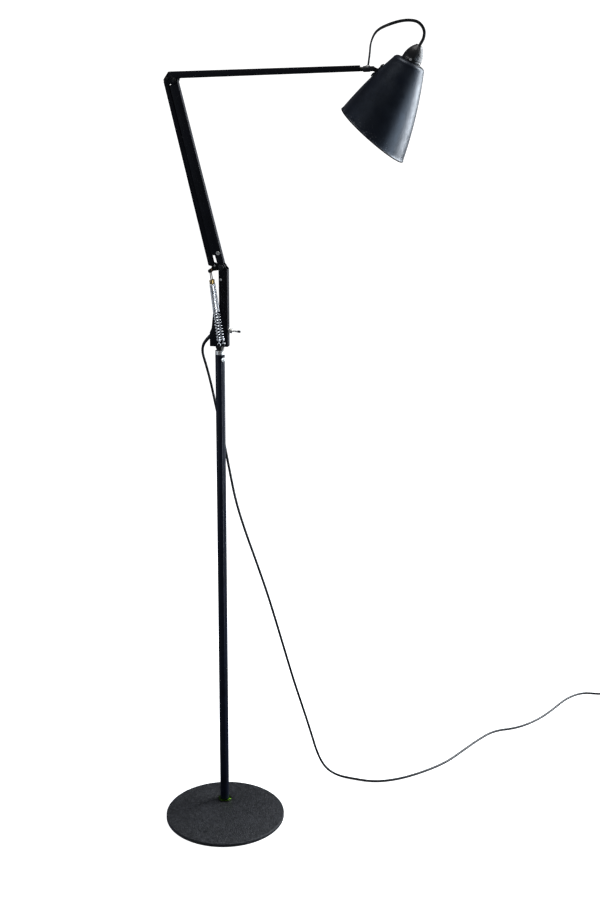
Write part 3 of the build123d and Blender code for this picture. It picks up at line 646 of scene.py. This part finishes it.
def make_cap(materials):
    """Moulded cap: a plain band, a ribbed dome and a cord mouth."""
    skirt = [(19.8, CAP_BASE), (20.5, CAP_BASE + 0.6), (20.8, CAP_BASE + 3.4), (20.4, CAP_BASE + 4.4),
             (19.7, CAP_BASE + 5)]
    dome = arc_through((20.3, CAP_BASE + 5.8), (17.4, CAP_BASE + 18), (9.6, CAP_BASE + 31), 26)
    tip = [(8.4, CAP_TOP - 2.9), (7.6, CAP_TOP - 2.1), (7.3, CAP_TOP - 1.0), (6.4, CAP_TOP - 0.3),
           (5.2, CAP_TOP), (3.6, CAP_TOP - 0.4), (CAP_BORE, CAP_TOP - 2), (CAP_BORE, CAP_BASE + 12.5),
           (9, CAP_BASE + 12), (15.4, CAP_BASE + 6), (15.4, CAP_BASE)]

    def profile_at(angle):
        fluting = 1 + RIB_DEPTH * (abs(cos(angle * CAP_RIBS / 2)) ** 1.5 - 0.5)
        return skirt + [(radius * fluting, height) for radius, height in dome] + tip

    vertices, faces = lathe(profile_at, 320)
    cap = piece("ribbed_cap", vertices, faces, materials["bakelite"], "head")
    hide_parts("cap")


def make_bulb(materials):
    """Opal globe lamp with its drawn neck."""
    globe = [(GLOBE_RADIUS * sin(t), GLOBE_CENTRE - GLOBE_RADIUS * cos(t))
             for t in [radians(2 + 114 * i / 30) for i in range(31)]]
    neck = arc_through(globe[-1], (16.6, 93), (12.9, BULB_CAP_FOOT), 10)
    inner = [(12.0, BULB_CAP_FOOT), (0.5, BULB_CAP_FOOT - 1)]
    profile = globe + neck[1:] + inner
    vertices, faces = lathe(lambda angle: profile, 72)
    bulb = piece("opal_globe", vertices, faces, materials["bulb_glass"], "head")
    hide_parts("bulb_glass")


# ---- springs ----
def spring_line(index):
    """A spring's foot, its direction, and its length from stud to rocker pin."""
    foot = Vector((SPRING_FEET[index][0], SPRING_PLANES[index], SPRING_FEET[index][1]))
    top = Vector((SPRING_TOP[0], SPRING_PLANES[index], SPRING_TOP[1]))
    run = top - foot
    return foot, run.normalized(), run.length


def make_springs(materials):
    """Wound wire: an eye on the stud, open turns on the lower half and close ones above."""
    turn_radius = SPRING_RADIUS - SPRING_WIRE
    for index in range(2):
        foot, along, length = spring_line(index)
        side = along.cross(FRONT)
        coil_end = length - HOOK_LENGTH - EYE_OUTER - ADJUSTER_LENGTH
        line = [foot + (side * cos(t) * -1 - along * sin(t)) * -EYE_RADIUS
                for t in [radians(-70 + 320 * i / 20) for i in range(21)]]
        line += [foot + along * 5.4 + side * 0.6, foot + along * 7.6 + side * 2.2]
        height, angle = COIL_START, 0.0
        while height < coil_end - COIL_END_GAP:
            share = (height - COIL_START) / (coil_end - COIL_START)
            pitch = OPEN_PITCH if FIRST_OPEN_SHARE < share < OPEN_SHARE else CLOSE_PITCH
            line.append(foot + along * height + (side * cos(angle) + FRONT * sin(angle)) * turn_radius)
            angle += tau / STEPS_PER_TURN
            height += pitch / STEPS_PER_TURN
        vertices, faces = swept([place * MM for place in line], circle(SPRING_WIRE, 10))
        wire = piece(f"wound_spring_{index + 1}", vertices, faces, materials["spring_wire"], "yoke")
        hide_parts(f"spring_{index + 1}")


def make_hook_rods(materials):
    """Threaded rods from the adjusters to the eyes round the rocker's pin."""
    count, overlap_below, overlap_above = 60, 1, 0.2

    def thread(share):
        return 1 + THREAD_DEPTH * (round(share * (count - 1)) % 2)

    vertices, faces = [], []
    for index in range(2):
        foot, along, length = spring_line(index)
        first = length - HOOK_LENGTH - EYE_OUTER - overlap_below
        last = length - EYE_OUTER + overlap_above
        line = [foot + along * (first + (last - first) * i / (count - 1)) for i in range(count)]
        more, skin = swept([place * MM for place in line], circle(ROD_RADIUS, 10), scale_at=thread)
        faces += [tuple(i + len(vertices) for i in face) for face in skin]
        vertices += more
    rods = piece("threaded_hook_rods", vertices, faces, materials["aged_brass"], None)
    middle = (spring_line(0)[0] + spring_line(1)[0]) / 2
    top = Vector((SPRING_TOP[0], middle.y, SPRING_TOP[1]))
    along = (top - middle).normalized()
    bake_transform(rods)
    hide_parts("spring_hook_rods")


def make_adjusters(materials):
    """Knurled brass adjusters between spring and rod."""
    knurled = 4.1
    shape = [(0, 3.2), (0.5, 3.9), (0.9, knurled), (3.2, knurled), (3.5, 3.5), (4.3, 3.5), (4.6, knurled),
             (8.0, knurled), (8.5, 3.8), (9, 2.2)]
    count = KNURL_COUNT
    vertices, faces = [], []
    for index in range(2):
        foot, along, length = spring_line(index)
        side = along.cross(FRONT)
        last = length - HOOK_LENGTH - EYE_OUTER
        first = last - ADJUSTER_LENGTH
        base = len(vertices)
        for rise, radius in shape:
            for i in range(count):
                angle = tau * i / count
                reach = radius - (KNURL_DEPTH if radius == knurled and i % 2 else 0)
                place = foot + along * (first + rise) + (side * cos(angle) + FRONT * sin(angle)) * reach
                vertices.append(place * MM)
        for ring in range(len(shape) - 1):
            faces += band(base + ring * count, base + (ring + 1) * count, count)
        faces.append(tuple(base + i for i in reversed(range(count))))
        faces.append(tuple(base + (len(shape) - 1) * count + i for i in range(count)))
    adjusters = piece("knurled_adjusters", vertices, faces, materials["brass"], "yoke")
    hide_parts("spring_adjusters")


# ---- cords ----
def eased(value, first, last, before, after):
    """A smooth change from before to after while value goes from first to last."""
    share = min(max((value - first) / (last - first), 0), 1)
    return before + (after - before) * share * share * (3 - 2 * share)


def coil_points():
    """The coil's route: inwards on the floor, up a layer, and back outwards on top."""
    outer, inner = COIL_TRACKS
    low, high = COIL_LAYERS
    points = []
    steps = round(COIL_SWEEP / COIL_STEP)
    for index in range(1, steps + 1):
        swept_angle = COIL_SWEEP * index / steps
        radius = eased(swept_angle, *COIL_SETTLES, COIL_ENTRY_RADIUS, outer)
        inwards = eased(swept_angle, *COIL_STEPS_IN, 0, inner - outer)
        outwards = eased(swept_angle, *COIL_STEPS_OUT, 0, outer - inner)
        radius += inwards + outwards
        angle = radians(COIL_ENTRY_ANGLE - swept_angle)
        points.append((COIL_CENTRE[0] + radius * cos(angle), COIL_CENTRE[1] + radius * sin(angle),
                       eased(swept_angle, *COIL_CLIMBS, low, high)))
    return points


def make_mains_cord(materials):
    """The mains lead: from the gland down to the floor, away to the right, coiled, and to its plug."""
    line = smooth_line([GLAND_EXIT, *MAINS_ROUTE, *coil_points(), *TAIL_ROUTE])
    vertices, faces = swept(line, circle(CORD_RADIUS, 14))
    cord = piece("mains_lead", vertices, faces, materials["cord_jacket"], None)
    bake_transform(cord)
    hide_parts("mains_cord", "cord_coil", "mains_cord_tail")

    def tapered(name, part, thick, body):
        """A ribbed sleeve along part of the cord, thick at its start."""
        def scale(share):
            groove = 0.9 if (share * RELIEF_RIBS) % 1 > 0.62 and share < 0.86 else 1.0
            return (thick + (RELIEF_TIP - thick) * share) * groove

        more, skin = swept(part, circle(1, 20), scale_at=scale)
        return piece(name, more, skin, materials["cord_jacket"], body)

    def stretch(points, length):
        """The first part of a line, a little over this length, in steps of about half a millimetre."""
        kept, gone = [points[0]], 0.0
        for before, after in zip(points, points[1:]):
            steps = max(2, round((after - before).length / (0.5 * MM)))
            kept += [before.lerp(after, (i + 1) / steps) for i in range(steps)]
            gone += (after - before).length
            if gone > length:
                break
        return kept

    lamp_end = tapered("lamp_strain_relief", stretch(line, LAMP_RELIEF[0] * MM), LAMP_RELIEF[1], "yoke")
    plug_end = tapered("plug_strain_relief", stretch(line[::-1], PLUG_RELIEF[0] * MM), PLUG_RELIEF[1],
                       "stand")
    tie = make_tie(materials)


def make_tie(materials):
    """A soft strap round the coil's turns."""
    outer, inner = COIL_TRACKS
    low, high = COIL_LAYERS
    reach = CORD_RADIUS + TIE_CLEARANCE
    outwards = Vector((cos(TIE_ANGLE), sin(TIE_ANGLE), 0))
    middle = Vector((*COIL_CENTRE, 0)) + outwards * ((outer + inner) / 2)
    half_wide, half_tall = (outer - inner) / 2, (high - low) / 2
    outline = []
    for corner, (a, b) in enumerate(((1, 1), (-1, 1), (-1, -1), (1, -1))):
        for i in range(7):
            t = radians(90 * corner + 15 * i)
            outline.append(middle + outwards * (a * half_wide + reach * cos(t))
                           + Vector((0, 0, (low + high) / 2 + b * half_tall + reach * sin(t))))
    along = outwards.cross(Vector((0, 0, 1)))
    vertices, faces = [], []
    count = len(outline)
    centre = sum(outline, Vector()) / count
    rows = ((0, -TIE_HALF_WIDTH), (0, TIE_HALF_WIDTH), (TIE_THICKNESS, TIE_HALF_WIDTH),
            (TIE_THICKNESS, -TIE_HALF_WIDTH))
    for push, shift in rows:
        vertices += [(p + (p - centre).normalized() * push + along * shift) * MM for p in outline]
    for row in range(len(rows)):
        faces += band(row * count, (row + 1) % len(rows) * count, count)
    return piece("coil_tie", vertices, faces, materials["felt"], "stand")


def make_flex(materials):
    """Flat twin flex that arches from the knuckle over to the cap."""
    line = smooth_line(FLEX_ROUTE)

    def lie(share):
        return eased(share, *FLEX_TWIST, 0, radians(90))

    vertices, faces = swept(line, twin_section(CORE_RADIUS, CORE_OFFSET), turn_at=lie)
    flex = piece("twin_flex", vertices, faces, materials["flex_jacket"], None)
    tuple(line[0])
    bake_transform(flex)
    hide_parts("flex_loop")
    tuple(line[0])


def main():
    make_camera()
    make_studio()
    make_floor()
    materials = make_materials()
    dress_cad_nodes(materials)
    make_mains_cord(materials)
    make_flex(materials)
    make_shade(materials)
    make_cap(materials)
    make_bulb(materials)
    make_springs(materials)
    make_adjusters(materials)
    make_hook_rods(materials)


main()
